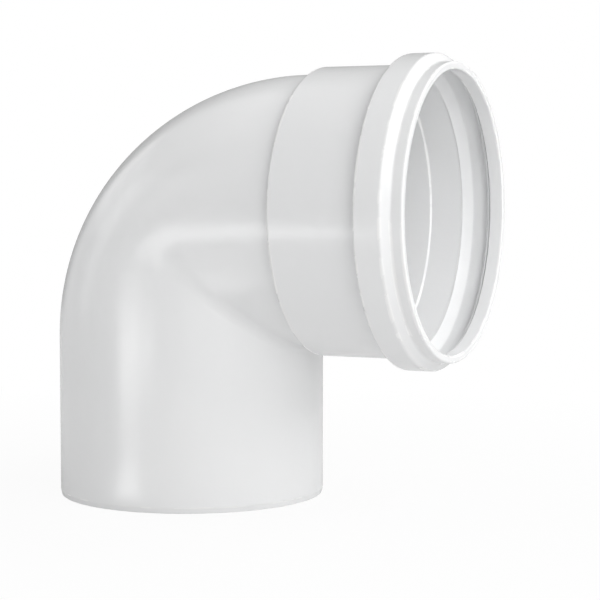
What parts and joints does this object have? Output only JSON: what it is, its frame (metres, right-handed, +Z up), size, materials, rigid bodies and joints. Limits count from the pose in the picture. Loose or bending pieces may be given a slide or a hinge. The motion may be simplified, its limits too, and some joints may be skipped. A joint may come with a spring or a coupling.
{
  "type": "pipe elbow",
  "caption": "Right-angle drain elbow with a plain spigot and a stepped, beaded socket that holds a sealing ring for a push-fit joint.",
  "frame": {"origin": "centre of the spigot's end face", "axes": "+Z up the spigot axis towards the bend, +X along the socket axis towards the mouth, XZ is the plane of symmetry"},
  "size_m": [0.1593, 0.115, 0.166],
  "materials": {
    "pvc": "semi-gloss moulded",
    "ring": "matt elastomer"
  },
  "bodies": {
    "root": {"elbow_body": "pvc", "sealing_ring": "ring"}
  },
  "joints": []
}
